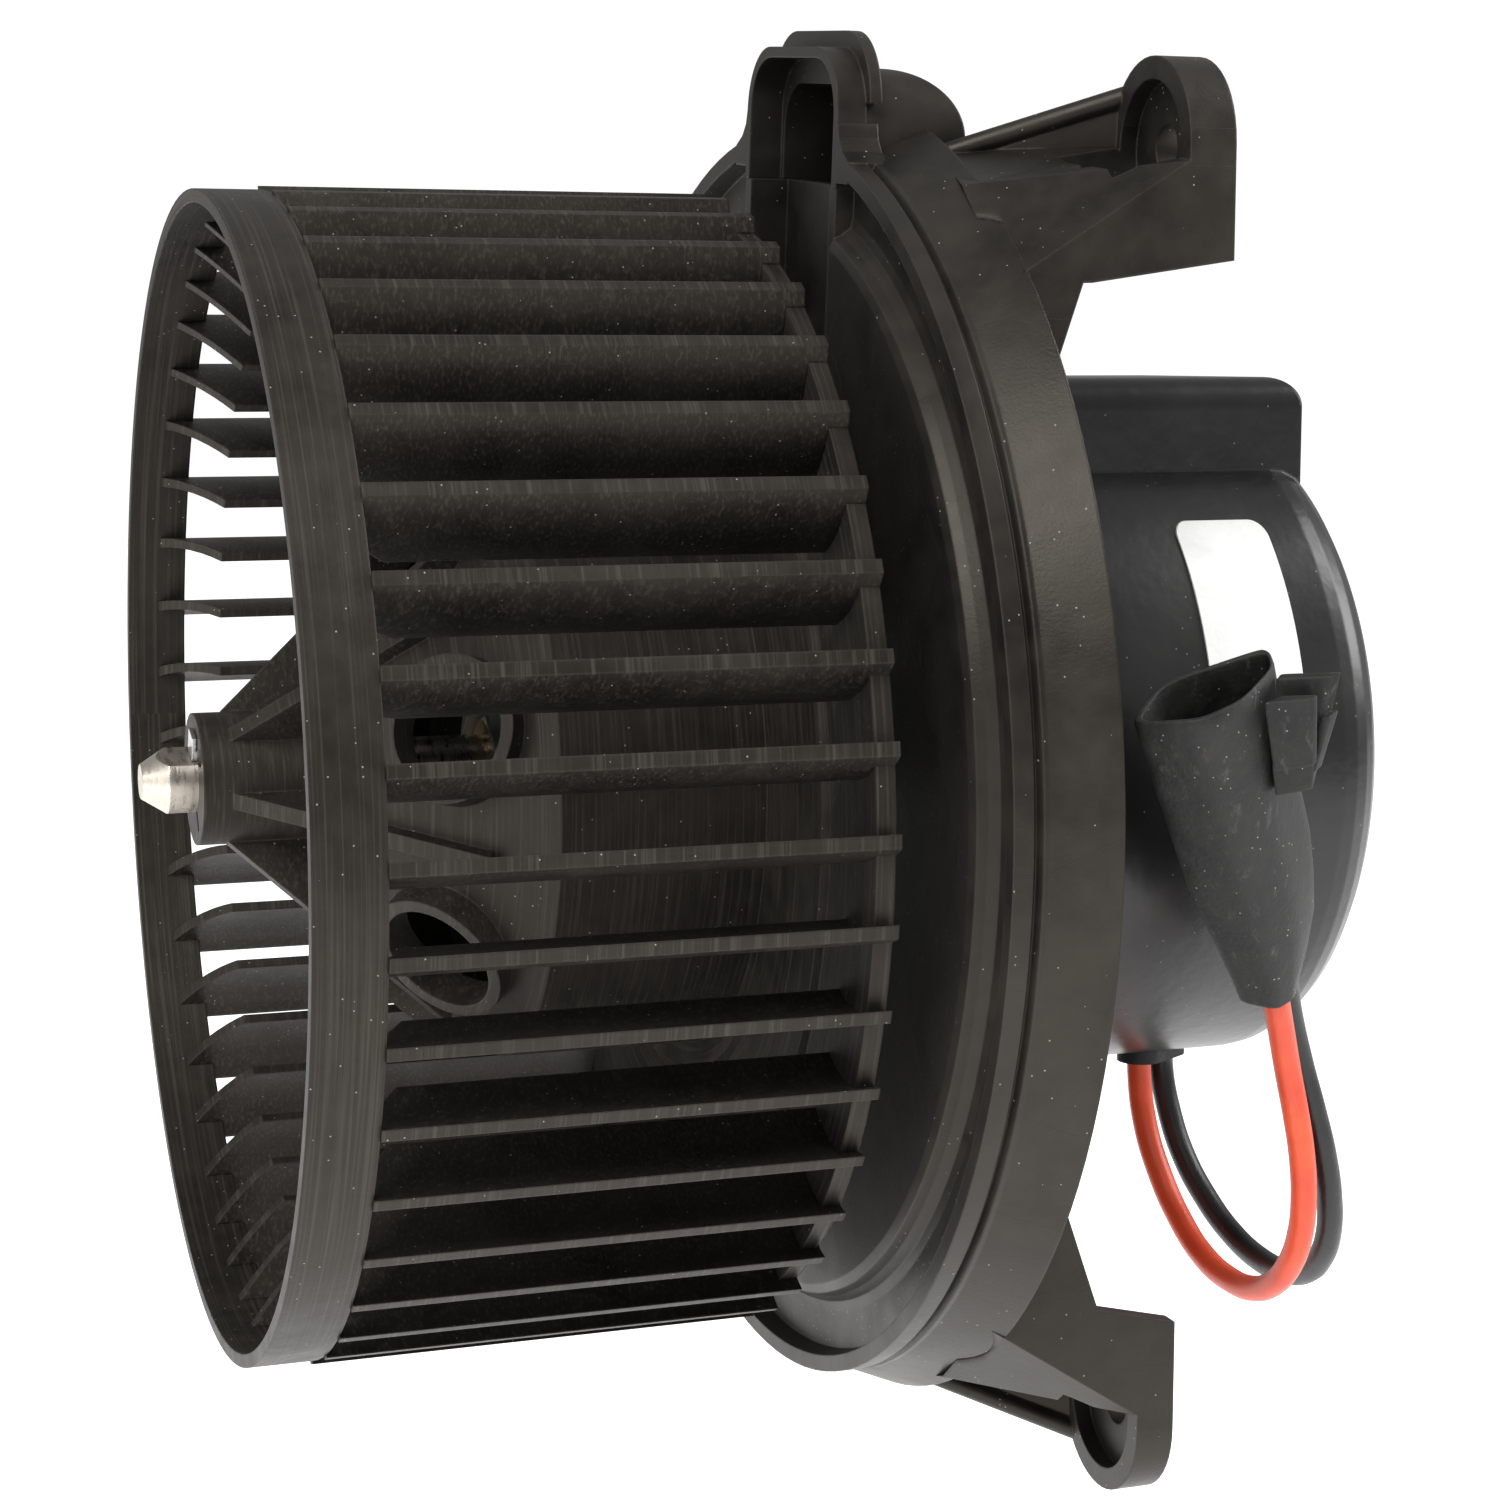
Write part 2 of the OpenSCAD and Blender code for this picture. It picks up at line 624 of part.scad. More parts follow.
module connector_housing() color("#262624") plug_frame() difference() {
  union() {
    hull() {
      slab(plug_back, -1.6, 7.4, -3.6, 4.6);
      slab(5, -3.4, 10.6, -4.3, 5.6);
      slab(15, -5.9, 11.6, -4.6, 6.2);
    }
    hull() {
      slab(15, -5.9, 11.6, -4.6, 6.2);
      slab(plug_mouth - 0.5, -9, 10.1, -4.3, 6.6);
    }
    hull() {
      translate([0, 0, 25.5]) linear_extrude(height = 0.5)
        polygon([[4.6, -3.6], [8.6, -5], [9.6, -3.5], [7, -0.5]]);
      translate([0, 0, 36.5]) linear_extrude(height = 0.5)
        polygon([[5.2, -2.5], [10, -5.1], [15, -2.5], [9.2, 1.5]]);
    }
  }
  translate([0, 0, plug_floor]) linear_extrude(height = 30) plug_plan(-5, 9.4, -3.5, 5.2);
  translate([0, 0, 29]) linear_extrude(height = 30) plug_plan(-7, 9.2, -3.4, 5.6);
  translate([0, 0, 29]) linear_extrude(height = 30)
    polygon([[8.2, -2.6], [10.6, -3.9], [11.6, -6.4], [15.6, -4.4], [12.4, -1.4], [9.6, -0.4]]);
  for (at = plug_wires) translate([at[0], at[1], plug_back - 1]) cylinder(h = 9, r = 1.9);
}

module connector_terminals() color("#c9b067") plug_frame() for (x = [-2, 4])
  cuboid([x - 1.1, 0.7, plug_floor], [x + 1.1, 1.5, plug_floor + 12]);

module wire_seals() color("#5d6d7a") plug_frame() for (at = plug_wires)
  translate([at[0], at[1], plug_back + 0.5]) difference() {
    cylinder(h = 3, r = 1.9);
    translate([0, 0, -1]) cylinder(h = 5, r = lead_r + 0.05);
  }

wheel_front_band();
wheel_blades();
wheel_back();
hub_clip();
motor_shaft();
armature_core();
armature_windings();
armature_insulators();
commutator_hub();
commutator_bars();
thrust_washers();
mounting_flange();
flange_lugs();
cooling_duct();
motor_cover();
cover_label();
motor_can();
field_magnets();
magnet_clips();
motor_end_plate();
front_bearing();
rear_bearing();
bearing_retainers();
oil_felts();
brush_card();
brush_holders();
carbon_brushes();
brush_springs();
choke_cores();
choke_windings();
capacitor();
motor_terminals();
rubber_isolators();
motor_screws();
cable_grommet();
lead_red();
lead_black();
connector_housing();
connector_terminals();
wire_seals();
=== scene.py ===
"""Looks of the blower motor wheel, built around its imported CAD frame."""
import json
import math

import bmesh
import bpy
from mathutils import Matrix, Vector


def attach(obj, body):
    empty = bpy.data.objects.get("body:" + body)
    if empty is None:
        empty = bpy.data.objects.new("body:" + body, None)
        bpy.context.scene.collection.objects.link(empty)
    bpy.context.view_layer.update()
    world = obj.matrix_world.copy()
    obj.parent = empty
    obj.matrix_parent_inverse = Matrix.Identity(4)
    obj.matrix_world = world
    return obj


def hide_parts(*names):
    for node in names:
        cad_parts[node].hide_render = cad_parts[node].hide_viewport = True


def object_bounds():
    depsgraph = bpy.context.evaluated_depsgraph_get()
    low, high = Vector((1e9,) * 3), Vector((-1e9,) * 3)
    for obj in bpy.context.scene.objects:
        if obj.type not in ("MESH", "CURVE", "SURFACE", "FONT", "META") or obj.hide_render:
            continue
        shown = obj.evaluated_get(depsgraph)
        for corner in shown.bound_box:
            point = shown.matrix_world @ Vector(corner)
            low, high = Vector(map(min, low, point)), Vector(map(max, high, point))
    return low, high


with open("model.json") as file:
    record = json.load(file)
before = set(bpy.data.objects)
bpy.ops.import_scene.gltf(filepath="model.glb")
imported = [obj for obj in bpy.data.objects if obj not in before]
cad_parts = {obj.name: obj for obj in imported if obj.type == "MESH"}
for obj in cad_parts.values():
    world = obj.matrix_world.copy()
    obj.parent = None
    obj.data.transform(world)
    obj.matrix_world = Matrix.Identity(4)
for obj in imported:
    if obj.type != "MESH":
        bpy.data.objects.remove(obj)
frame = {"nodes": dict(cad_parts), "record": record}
CAD_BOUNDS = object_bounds()
NODES = frame["nodes"]
FIXED = "housing"
MM = 0.001


def link(obj):
    bpy.context.scene.collection.objects.link(obj)
    return obj


# ---- camera ----

CAMERA_AT = Vector((-157.4, -356.2, 50.6)) * MM
LOOK = Vector((0.3217, 0.9376, -0.1319))
LENS = 71.16
SENSOR = 36
CLIP = 0.01, 20


def make_camera():
    data = bpy.data.cameras.new("camera")
    data.lens = LENS
    data.sensor_width = SENSOR
    data.clip_start, data.clip_end = CLIP
    camera = link(bpy.data.objects.new("camera", data))
    camera.location = CAMERA_AT
    camera.rotation_mode = "QUATERNION"
    camera.rotation_quaternion = LOOK.to_track_quat("-Z", "Y")
    bpy.context.scene.camera = camera


# ---- node helpers ----

class Shade:
    """One node material, with short ways to add and join nodes."""

    def __init__(self, name):
        self.mat = bpy.data.materials.new(name)
        self.mat.use_nodes = True
        self.tree = self.mat.node_tree
        self.bsdf = self.tree.nodes["Principled BSDF"]
        self.place = self.tree.nodes.new("ShaderNodeTexCoord").outputs["Object"]

    def add(self, kind, sockets=None, **settings):
        node = self.tree.nodes.new(kind)
        for key, value in settings.items():
            setattr(node, key, value)
        for key, value in (sockets or {}).items():
            self.put(node.inputs[key], value)
        return node

    def put(self, socket, value):
        if isinstance(value, bpy.types.NodeSocket):
            self.tree.links.new(value, socket)
        elif isinstance(value, tuple) and len(value) == 3 and socket.type == "RGBA":
            socket.default_value = (*value, 1)
        else:
            socket.default_value = value

    def math(self, op, a, b=0.0, clamp=False):
        return self.add("ShaderNodeMath", {0: a, 1: b}, operation=op, use_clamp=clamp).outputs[0]

    def noise(self, scale, detail=3.0, rough=0.5, vector=None, warp=0.0):
        return self.add("ShaderNodeTexNoise", {
            "Vector": vector or self.place, "Scale": scale, "Detail": detail,
            "Roughness": rough, "Distortion": warp}).outputs["Fac"]

    def span(self, value, low, high, to_low=0.0, to_high=1.0):
        return self.add("ShaderNodeMapRange", {
            "Value": value, "From Min": low, "From Max": high,
            "To Min": to_low, "To Max": to_high}).outputs["Result"]

    def mix(self, amount, a, b):
        node = self.add("ShaderNodeMix", data_type="RGBA")
        self.put(node.inputs[0], amount)
        self.put(node.inputs[6], a)
        self.put(node.inputs[7], b)
        return node.outputs[2]

    def stretched(self, sx, sy, sz, turn=(0.0, 0.0, 0.0)):
        return self.add("ShaderNodeMapping", {
            "Vector": self.place, "Scale": (sx, sy, sz), "Rotation": turn}).outputs["Vector"]

    def round_x(self, along, around, outward):
        """Coordinates about the shaft: along it, around it and outward."""
        part = self.add("ShaderNodeSeparateXYZ", {0: self.place}).outputs
        angle = self.math("ARCTAN2", part[2], self.math("MULTIPLY", part[1], -1.0))
        radius = self.math("SQRT", self.math(
            "ADD", self.math("POWER", part[1], 2.0), self.math("POWER", part[2], 2.0)))
        return self.add("ShaderNodeCombineXYZ", {
            0: self.math("MULTIPLY", part[0], along),
            1: self.math("MULTIPLY", angle, around),
            2: self.math("MULTIPLY", radius, outward)}).outputs[0]

    def specks(self, scale, size, share):
        """Dust: small dots in a few of the cells."""
        cell = self.add("ShaderNodeTexVoronoi", {"Vector": self.place, "Scale": scale})
        near = self.math("LESS_THAN", cell.outputs["Distance"], size)
        pick = self.add("ShaderNodeSeparateColor", {0: cell.outputs["Color"]}).outputs[0]
        return self.math("MULTIPLY", near, self.math("LESS_THAN", pick, share))

    def fibres(self, scale, turn, width, share):
        """Short hair-thin lines, such as lint and light scratches."""
        cell = self.add("ShaderNodeTexVoronoi", {
            "Vector": self.stretched(1.0, 0.12, 0.12, turn), "Scale": scale})
        near = self.math("LESS_THAN", cell.outputs["Distance"], width)
        pick = self.add("ShaderNodeSeparateColor", {0: cell.outputs["Color"]}).outputs[1]
        return self.math("MULTIPLY", near, self.math("LESS_THAN", pick, share))

    def edges(self, radius, gain):
        """How much a rounded edge turns away from the flat face, from 0 to 1."""
        soft = self.add("ShaderNodeBevel", {"Radius": radius}, samples=4).outputs[0]
        hard = self.add("ShaderNodeNewGeometry").outputs["Normal"]
        dot = self.add("ShaderNodeVectorMath", {0: soft, 1: hard}, operation="DOT_PRODUCT")
        turned = self.math("SUBTRACT", 1.0, dot.outputs["Value"])
        return soft, self.math("MULTIPLY", turned, gain, clamp=True)

    def relief(self, height, depth, normal=None, strength=1.0):
        sockets = {"Height": height, "Distance": depth, "Strength": strength}
        if normal is not None:
            sockets["Normal"] = normal
        return self.add("ShaderNodeBump", sockets).outputs[0]

    def finish(self, color, rough, normal=None, metal=0.0, gloss=0.5, tint=(1, 1, 1)):
        self.put(self.bsdf.inputs["Base Color"], color)
        self.put(self.bsdf.inputs["Roughness"], rough)
        self.bsdf.inputs["Metallic"].default_value = metal
        self.bsdf.inputs["Specular IOR Level"].default_value = gloss
        self.bsdf.inputs["Specular Tint"].default_value = (*tint, 1)
        if normal is not None:
            self.put(self.bsdf.inputs["Normal"], normal)
        return self.mat


# ---- materials ----

def dark_plastic(name, deep, pale, rough, gloss, mottle=55.0, dust=0.05, streak=0.0, lines=False):
    s = Shade(name)
    cloud = s.noise(mottle, 4.0, 0.6, warp=0.8)
    patch = s.noise(mottle * 5, 3.0, 0.55)
    tone = s.math("ADD", s.math("MULTIPLY", cloud, 0.65), s.math("MULTIPLY", patch, 0.35))
    color = s.mix(s.span(tone, 0.35, 0.68), deep, pale)
    rub = s.noise(1.0, 2.0, 0.6, s.round_x(2600.0, 1.4, 1500.0))
    rubbed = s.span(rub, 0.5, 0.74)
    if streak:
        color = s.mix(s.math("MULTIPLY", rubbed, streak), color, (0.062, 0.055, 0.046))
    scratch = s.math("MAXIMUM", s.fibres(420.0, (0.4, 0.3, 0.7), 0.035, 0.05),
                     s.fibres(360.0, (1.3, 0.5, 2.1), 0.03, 0.04))
    color = s.mix(s.math("MULTIPLY", scratch, 0.5), color, (0.14, 0.13, 0.12))
    color = s.mix(s.math("MULTIPLY", s.specks(1700.0, 0.17, dust), 0.75), color, (0.3, 0.28, 0.25))
    soft, edge = s.edges(0.00035, 2.2)
    # painted highlight: rounded edges are lightened in the base colour, standing in for light
    # catching the edges
    color = s.mix(s.math("MULTIPLY", edge, 0.35), color, (0.1, 0.092, 0.083))
    grain = s.noise(2600.0, 2.0, 0.7)
    height = s.math("ADD", s.math("MULTIPLY", grain, 0.5), s.math("MULTIPLY", patch, 0.9))
    if streak:
        height = s.math("ADD", height, s.math("MULTIPLY", rub, 0.6))
    if lines:
        part = s.add("ShaderNodeSeparateXYZ", {0: s.place}).outputs
        for sign in (1.0, -1.0):
            lean = s.math("ADD", part[2], s.math("MULTIPLY", part[1], sign * 1.3))
            wave = s.math("ABSOLUTE", s.math("SINE", s.math("MULTIPLY", lean, 150.0)))
            height = s.math("ADD", height, s.math("LESS_THAN", wave, 0.035))
    normal = s.relief(height, 0.00006, soft, 0.8)
    shine = s.math("ADD", s.span(tone, 0.3, 0.7, rough - 0.09, rough + 0.1),
                   s.math("MULTIPLY", grain, 0.06))
    return s.finish(color, shine, normal, gloss=gloss, tint=(1, 0.9, 0.78))


def glossy_cover(name):
    s = Shade(name)
    cloud = s.noise(38.0, 3.0, 0.5, warp=0.6)
    color = s.mix(s.span(cloud, 0.35, 0.7), (0.008, 0.008, 0.0085), (0.017, 0.0165, 0.016))
    color = s.mix(s.math("MULTIPLY", s.specks(1500.0, 0.16, 0.05), 0.7), color, (0.2, 0.2, 0.19))
    orange = s.noise(420.0, 2.0, 0.5)
    soft, edge = s.edges(0.0006, 1.6)
    # painted highlight: rounded edges are lightened in the base colour, standing in for light
    # catching the edges
    color = s.mix(s.math("MULTIPLY", edge, 0.15), color, (0.08, 0.08, 0.078))
    rough = s.span(cloud, 0.3, 0.7, 0.24, 0.36)
    return s.finish(color, rough, s.relief(orange, 0.00009, soft, 0.7), gloss=0.42)


def rubbery(name):
    s = Shade(name)
    cloud = s.noise(150.0, 4.0, 0.62, warp=1.0)
    color = s.mix(s.span(cloud, 0.35, 0.7), (0.009, 0.009, 0.009), (0.028, 0.027, 0.026))
    chalk = s.noise(1.0, 4.0, 0.7, s.stretched(700.0, 900.0, 160.0, (0.3, 0.3, 0.0)))
    color = s.mix(s.span(chalk, 0.58, 0.78, 0.0, 0.5), color, (0.12, 0.115, 0.11))
    color = s.mix(s.math("MULTIPLY", s.specks(1700.0, 0.17, 0.08), 0.8), color, (0.32, 0.31, 0.29))
    soft, edge = s.edges(0.0004, 2.0)
    # painted highlight: rounded edges are lightened in the base colour, standing in for light
    # catching the edges
    color = s.mix(s.math("MULTIPLY", edge, 0.5), color, (0.11, 0.105, 0.1))
    height = s.math("ADD", s.noise(1500.0, 3.0, 0.7), cloud)
    return s.finish(color, s.span(cloud, 0.3, 0.7, 0.5, 0.68),
                    s.relief(height, 0.0001, soft, 0.9), gloss=0.35)


def insulation(name, deep, pale, gloss=0.45):
    s = Shade(name)
    cloud = s.noise(120.0, 3.0, 0.5)
    color = s.mix(s.span(cloud, 0.35, 0.7), deep, pale)
    scuff = s.noise(1.0, 3.0, 0.6, s.stretched(2400.0, 2400.0, 500.0))
    color = s.mix(s.span(scuff, 0.62, 0.82, 0.0, 0.35), color, tuple(c * 0.6 + 0.05 for c in pale))
    return s.finish(color, s.span(cloud, 0.3, 0.7, 0.3, 0.44),
                    s.relief(scuff, 0.00005), gloss=gloss)


def paper_label(name):
    s = Shade(name)
    cloud = s.noise(160.0, 4.0, 0.6)
    color = s.mix(s.span(cloud, 0.3, 0.7), (0.86, 0.86, 0.84), (0.74, 0.74, 0.72))
    fibre = s.noise(1800.0, 3.0, 0.6)
    return s.finish(color, s.span(fibre, 0.3, 0.7, 0.34, 0.5), s.relief(fibre, 0.00003), gloss=0.5)


def metal(name, base, worn, rough, along=(1800.0, 1.5, 900.0), spots=0.25):
    s = Shade(name)
    turned = s.noise(1.0, 3.0, 0.6, s.round_x(*along))
    stain = s.noise(240.0, 4.0, 0.6, warp=1.0)
    color = s.mix(s.math("MULTIPLY", s.span(stain, 0.5, 0.75), spots * 2), base, worn)
    color = s.mix(s.span(turned, 0.45, 0.8, 0.0, 0.35), color, worn)
    soft, edge = s.edges(0.0002, 1.5)
    shine = s.math("ADD", s.span(turned, 0.3, 0.7, rough - 0.08, rough + 0.1),
                   s.math("MULTIPLY", edge, -0.05))
    return s.finish(color, shine, s.relief(turned, 0.00003, soft, 0.6), metal=1.0)


def dull(name, deep, pale, rough, scale=320.0, depth=0.00012, gloss=0.3):
    s = Shade(name)
    cloud = s.noise(scale, 4.0, 0.65)
    fine = s.noise(scale * 6, 3.0, 0.7)
    tone = s.math("ADD", s.math("MULTIPLY", cloud, 0.6), s.math("MULTIPLY", fine, 0.4))
    return s.finish(s.mix(s.span(tone, 0.35, 0.68), deep, pale), s.span(
        fine, 0.3, 0.7, rough - 0.08, rough + 0.08), s.relief(tone, depth), gloss=gloss)


def make_materials():
    return {
        "wheel_plastic": dark_plastic(
            "wheel_plastic", (0.0085, 0.0076, 0.0063), (0.021, 0.0188, 0.0158), 0.46, 0.28,
            mottle=70.0, dust=0.05, streak=0.55),
        "flange_plastic": dark_plastic(
            "flange_plastic", (0.0065, 0.006, 0.0052), (0.023, 0.0208, 0.0175), 0.38, 0.32,
            mottle=45.0, dust=0.04, lines=True),
        "cover_plastic": glossy_cover("cover_plastic"),
        "connector_plastic": rubbery("connector_plastic"),
        "label": paper_label("label"),
        "shaft_steel": metal("shaft_steel", (0.62, 0.57, 0.5), (0.4, 0.33, 0.25), 0.3),
        "can_steel": metal("can_steel", (0.55, 0.56, 0.57), (0.33, 0.33, 0.33), 0.38),
        "core_steel": metal("core_steel", (0.33, 0.33, 0.34), (0.2, 0.18, 0.16), 0.45,
                            along=(2000.0, 0.6, 60.0)),
        "spring_steel": metal("spring_steel", (0.66, 0.66, 0.65), (0.42, 0.4, 0.37), 0.3),
        "copper": metal("copper", (0.72, 0.34, 0.14), (0.42, 0.17, 0.07), 0.32),
        "bronze": metal("bronze", (0.66, 0.5, 0.26), (0.4, 0.28, 0.12), 0.4),
        "ferrite": dull("ferrite", (0.025, 0.025, 0.026), (0.06, 0.06, 0.062), 0.6),
        "insulator": dull("insulator", (0.07, 0.17, 0.09), (0.12, 0.26, 0.15), 0.5),
        "card": dull("card", (0.2, 0.11, 0.05), (0.34, 0.2, 0.1), 0.6, scale=500.0),
        "capacitor": dull("capacitor", (0.5, 0.2, 0.04), (0.64, 0.3, 0.08), 0.3, gloss=0.5),
        "felt": dull("felt", (0.5, 0.42, 0.26), (0.76, 0.68, 0.48), 0.9, scale=900.0,
                     depth=0.0004),
        "rubber": dull("rubber", (0.008, 0.008, 0.008), (0.02, 0.02, 0.019), 0.6),
        "seal_rubber": dull("seal_rubber", (0.06, 0.12, 0.18), (0.1, 0.19, 0.27), 0.55),
        "red_insulation": insulation("red_insulation", (0.62, 0.055, 0.02), (0.8, 0.1, 0.035)),
        "black_insulation": insulation("black_insulation", (0.006, 0.006, 0.006),
                                       (0.014, 0.014, 0.014)),
    }


# ---- the leads ----

LEAD_D = 3.2 * MM
RED_ROUTE = [
    (16.8, -8.2, -38.5), (16.8, -8.2, -44.3), (17, -10, -51), (17.5, -13.5, -56.7),
    (18, -18.4, -61.4), (18.4, -24.4, -64.7), (18.8, -30.8, -65.9), (19, -36.7, -65.3),
    (19, -41.8, -63), (18.9, -45.7, -59.4), (18.6, -48.5, -54.8), (18.1, -50, -49.6),
    (17.4, -50.5, -44.3), (16.4, -50.6, -39.2), (15.1, -50.8, -33.9), (13.5, -51.8, -28.6),
    (11.8, -53.3, -23.9), (10.7, -54.4, -20.6),
]
BLACK_ROUTE = [
    (21.6, -5.2, -38.5), (21.6, -5.2, -44.3), (22.1, -6.8, -50.2), (22.8, -9.8, -55.5),
    (23.8, -14.2, -60), (24.8, -19.8, -63.5), (25.6, -26.3, -65.3), (25.9, -32.4, -65.1),
    (25.8, -37.7, -63.4), (25.3, -41.9, -60.4), (24.5, -45.1, -56.2), (23.3, -47.1, -51.1),
    (21.9, -47.9, -45.5), (20.2, -48, -39.7), (18.2, -48.1, -33.5), (15.9, -49.2, -26.9),
    (14.3, -50.7, -22.2), (13.2, -51.8, -18.9),
]


def lead_curve(name, route, material):
    data = bpy.data.curves.new(name, "CURVE")
    data.dimensions = "3D"
    data.bevel_depth = LEAD_D / 2
    data.bevel_resolution = 6
    data.use_fill_caps = True
    data.resolution_u = 10
    line = data.splines.new("BEZIER")
    line.bezier_points.add(len(route) - 1)
    for knot, at in zip(line.bezier_points, route):
        knot.co = Vector(at) * MM
        knot.handle_left_type = knot.handle_right_type = "AUTO"
    data.materials.append(material)
    return link(bpy.data.objects.new(name, data))


# ---- the connector ----

PLUG_AT = Vector((8.6, -53, -21.6)) * MM
PLUG_TILT = 18
PLUG_ROLL = -18.5
PLUG_TURN = (Matrix.Rotation(math.radians(PLUG_TILT), 4, "X")
             @ Matrix.Rotation(math.radians(PLUG_ROLL), 4, "Y"))
MOUTH = 38.5


def six_sided(z, left, right, front, back):
    """The connector's skewed outline at one height, in its own frame, in millimetres."""
    w = right - left
    return z, [
        (left, 0.8), (left + 0.5, -0.6), (left + 0.31 * w, front), (left + 0.61 * w, 0.78 * front),
        (left + 0.94 * w, 1.3), (right, back - 1.6), (right - 0.6, back - 0.6),
        (left + 0.31 * w, back)]


def softened(z, corners, round_off=0.3, steps=4):
    """The outline with each corner drawn as a short arc."""
    ring = []
    for i, here in enumerate(corners):
        before, after = Vector(corners[i - 1]), Vector(corners[(i + 1) % len(corners)])
        here = Vector(here)
        start, end = here.lerp(before, round_off), here.lerp(after, round_off)
        for k in range(steps + 1):
            t = k / steps
            flat = start.lerp(here, t).lerp(here.lerp(end, t), t)
            ring.append(Vector((flat.x, flat.y, z)))
    return ring


def shrunk(ring, by, z=None):
    middle = sum(ring, Vector()) / len(ring)
    out = []
    for p in ring:
        away = p - middle
        out.append(Vector((*(middle + away * (1 - by / away.length)).xy, p.z if z is None else z)))
    return out


def loft(mesh, rings, close_first, close_last):
    loops = [[mesh.verts.new(PLUG_AT + PLUG_TURN @ (p * MM)) for p in ring] for ring in rings]
    for low, high in zip(loops, loops[1:]):
        for k in range(len(low)):
            j = (k + 1) % len(low)
            mesh.faces.new((low[k], low[j], high[j], high[k]))
    if close_first:
        mesh.faces.new(reversed(loops[0]))
    if close_last:
        mesh.faces.new(loops[-1])


def make_connector(material):
    mesh = bmesh.new()
    outside = [softened(*six_sided(*row)) for row in (
        (-3, -1.6, 7.4, -3.6, 4.6), (0.5, -2.3, 9.0, -4.0, 5.0), (5, -3.4, 10.6, -4.3, 5.6),
        (10, -4.7, 11.3, -4.5, 6.0), (15, -5.9, 11.6, -4.6, 6.2), (23, -7.0, 11.1, -4.5, 6.35),
        (31, -8.1, 10.5, -4.4, 6.5), (36, -8.75, 10.2, -4.3, 6.6), (38.2, -9.0, 10.1, -4.3, 6.6))]
    floor = shrunk(outside[0], 0.5, -3.25)
    lip = shrunk(outside[-1], 0.25, MOUTH)
    inside = [softened(*six_sided(*row)) for row in (
        (37.8, -7.9, 9.3, -3.4, 5.7), (33, -7.5, 9.2, -3.4, 5.6), (29.2, -7.0, 9.2, -3.4, 5.6),
        (28.8, -5.2, 9.0, -3.3, 5.2), (20.1, -4.9, 9.0, -3.3, 5.1))]
    inner_lip = shrunk(inside[0], -0.15, MOUTH)
    loft(mesh, [floor] + outside + [lip, inner_lip] + inside, True, True)
    base = [(4.6, -3.6), (8.6, -5.0), (9.6, -3.5), (7.0, -0.5)]
    top = [(5.2, -2.5), (10.0, -5.1), (15.0, -2.5), (9.2, 1.5)]
    for z0, low, z1, high in (
        (25.5, base, 29.2, [Vector(a).lerp(Vector(b), 0.33) for a, b in zip(base, top)]),
        (28.6, [(4.9, -3.3), (9.05, -5.05), (9.8, -4.6), (6.6, -2.2)],
         36.9, [(5.2, -2.5), (10.0, -5.1), (10.9, -4.6), (7.6, -2.3)]),
        (28.6, [(10.3, -2.9), (11.4, -3.15), (8.0, -0.1), (6.6, -0.6)],
         37.3, [(13.9, -2.9), (15.0, -2.5), (9.4, 1.4), (8.4, 0.6)]),
        (27.5, [(9.2, -4.9), (10.6, -4.0), (10.0, -3.4), (8.6, -4.2)],
         33.0, [(12.2, -3.9), (13.9, -2.9), (13.1, -2.4), (11.4, -3.3)]),
    ):
        loft(mesh, [softened(z0, low, 0.12, 2), softened(z1 - 0.15, high, 0.12, 2),
                    shrunk(softened(z1, high, 0.12, 2), 0.15)], True, True)
    for face in mesh.faces:
        face.smooth = len(face.verts) == 4
    bmesh.ops.recalc_face_normals(mesh, faces=mesh.faces)
    data = bpy.data.meshes.new("connector")
    mesh.to_mesh(data)
    mesh.free()
    data.materials.append(material)
    piece = link(bpy.data.objects.new("connector", data))
    edges = piece.modifiers.new("crisp", "EDGE_SPLIT")
    edges.split_angle = math.radians(50)
    return piece


# ---- floor, world and light ----

FLOOR_DROP = 0.14
FLOOR_GLOW = 0.85
SKY_SEEN = 1.05
SKY_LIGHT = 0.4

def area_light(name, at, aim, size, power, tint=(1, 1, 1)):
    data = bpy.data.lights.new(name, "AREA")
    data.shape = "RECTANGLE"
    data.size = size[0]
    data.size_y = size[1]
    data.energy = power
    data.color = tint
    lamp = link(bpy.data.objects.new(name, data))
    lamp.location = at
    lamp.rotation_mode = "QUATERNION"
    lamp.rotation_quaternion = (Vector(aim) - Vector(at)).to_track_quat("-Z", "Y")


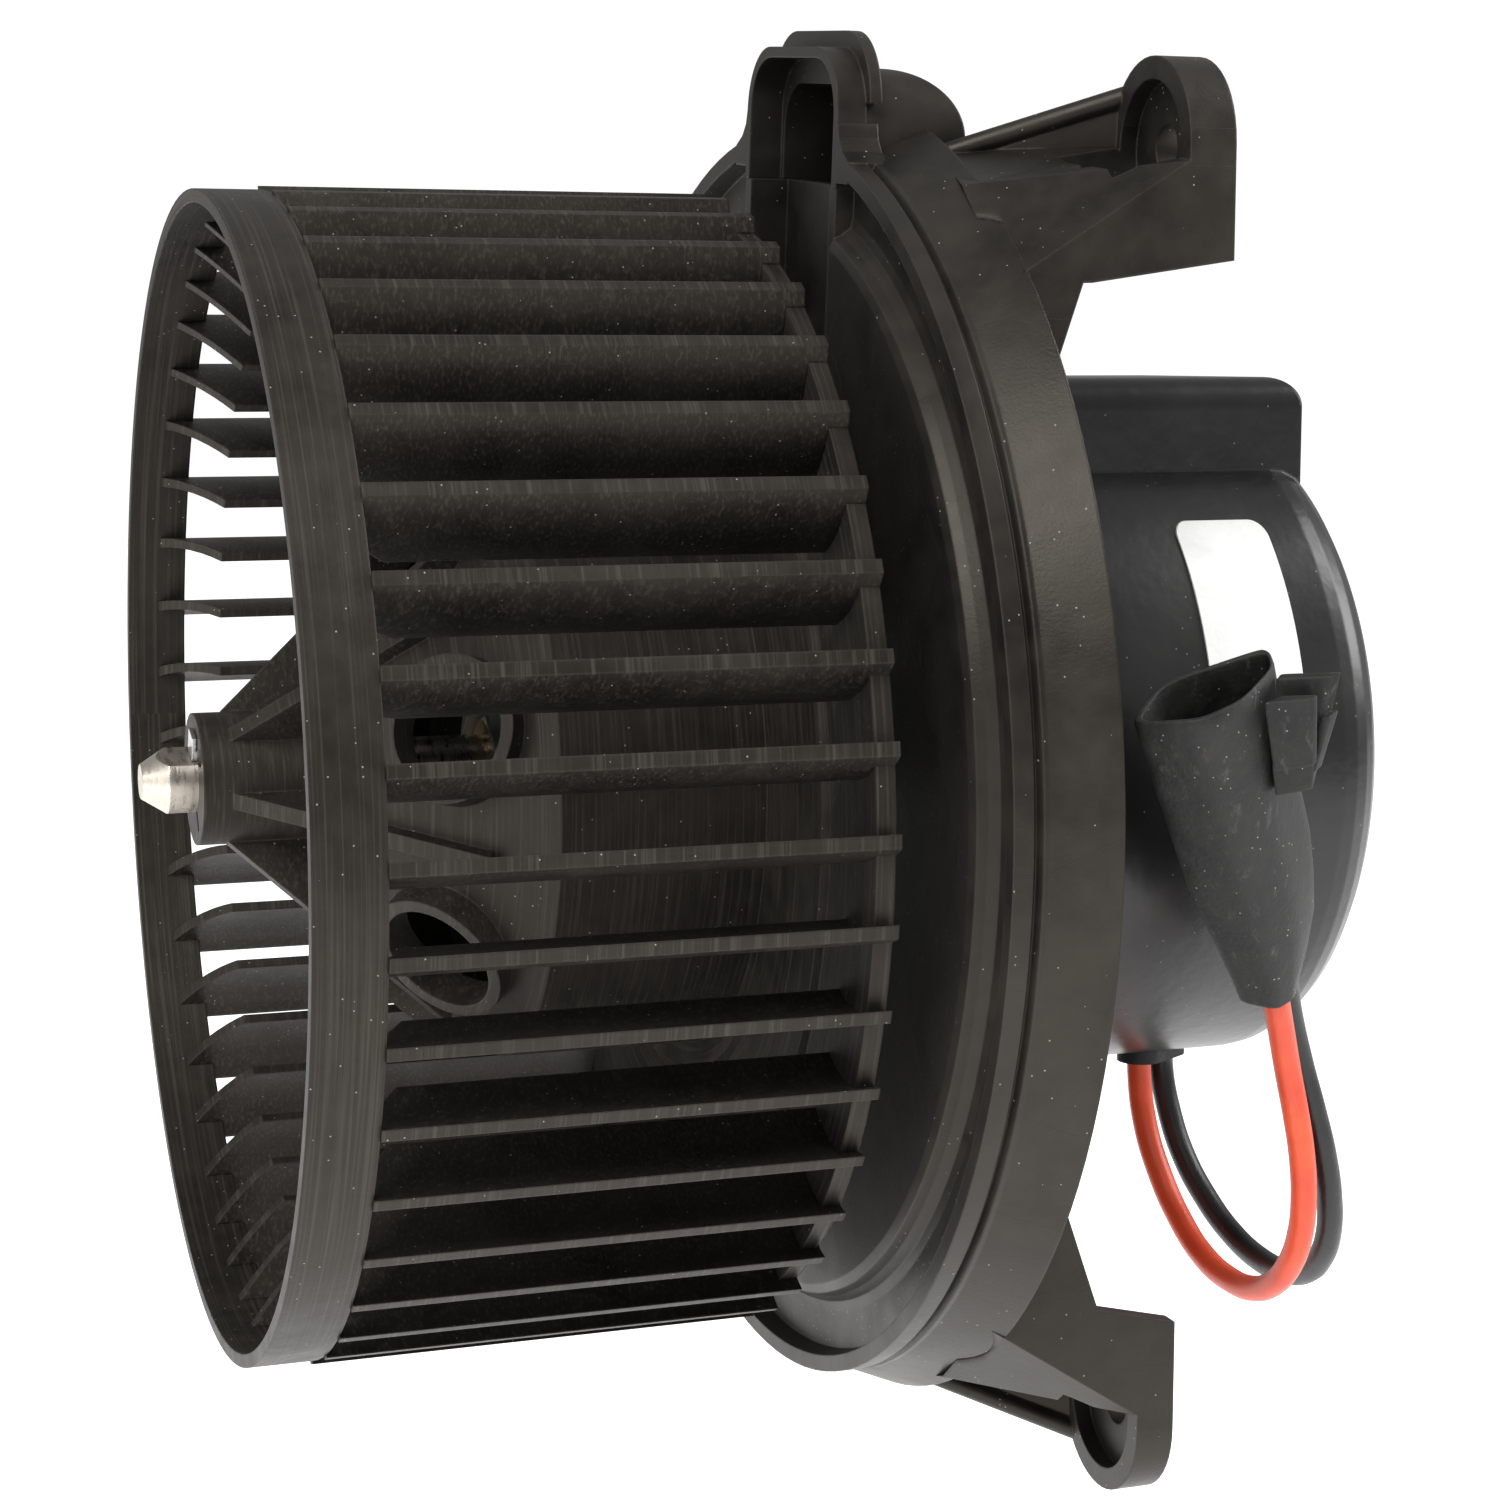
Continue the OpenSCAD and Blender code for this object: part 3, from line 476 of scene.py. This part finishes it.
def make_world():
    world = bpy.data.worlds.new("studio")
    bpy.context.scene.world = world
    world.use_nodes = True
    tree = world.node_tree
    back = tree.nodes["Background"]
    back.inputs["Color"].default_value = (1, 1, 1, 1)
    seen = tree.nodes.new("ShaderNodeLightPath")
    level = tree.nodes.new("ShaderNodeMapRange")
    level.inputs["To Min"].default_value = SKY_LIGHT
    level.inputs["To Max"].default_value = SKY_SEEN
    tree.links.new(seen.outputs["Is Camera Ray"], level.inputs["Value"])
    tree.links.new(level.outputs["Result"], back.inputs["Strength"])


def make_floor(low):
    mesh = bmesh.new()
    corners = [mesh.verts.new((x, y, 0)) for x, y in ((-3, -2), (3, -2), (3, 4), (-3, 4))]
    mesh.faces.new(corners)
    data = bpy.data.meshes.new("floor")
    mesh.to_mesh(data)
    mesh.free()
    floor = link(bpy.data.objects.new("floor", data))
    floor.location = (0, 0, low - FLOOR_DROP)
    s = Shade("floor_white")
    cloud = s.noise(3.0, 2.0, 0.5)
    s.bsdf.inputs["Emission Color"].default_value = (1, 1, 1, 1)
    s.bsdf.inputs["Emission Strength"].default_value = FLOOR_GLOW
    data.materials.append(s.finish(
        s.mix(cloud, (0.86, 0.86, 0.86), (0.9, 0.9, 0.9)), 0.8, gloss=0.1))


# ---- putting it together ----

make_camera()
LOOKS = make_materials()
for part in frame["record"]["subparts"]:
    node = NODES[part["node"]]
    node.data.materials.clear()
    node.data.materials.append(LOOKS[part["material_slot"]])

connector = make_connector(LOOKS["connector_plastic"])
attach(connector, FIXED)
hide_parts("connector_housing")

for name, node, route, slot, length in (
    ("red_lead", "lead_red", RED_ROUTE, "red_insulation", 0.098),
    ("black_lead", "lead_black", BLACK_ROUTE, "black_insulation", 0.1),
):
    lead = lead_curve(name, route, LOOKS[slot])
    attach(lead, FIXED)
    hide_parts(node)

make_world()
make_floor(CAD_BOUNDS[0][2])
area_light("key", (-0.55, -0.75, 0.95), (0, 0, 0), (0.7, 0.7), 14)
area_light("side", (-0.9, -0.2, 0.15), (-0.05, 0, 0), (0.5, 0.6), 2)
area_light("rim", (0.8, -0.15, 0.5), (0, 0, 0), (0.35, 0.7), 7)
bpy.context.scene.view_settings.view_transform = "Standard"
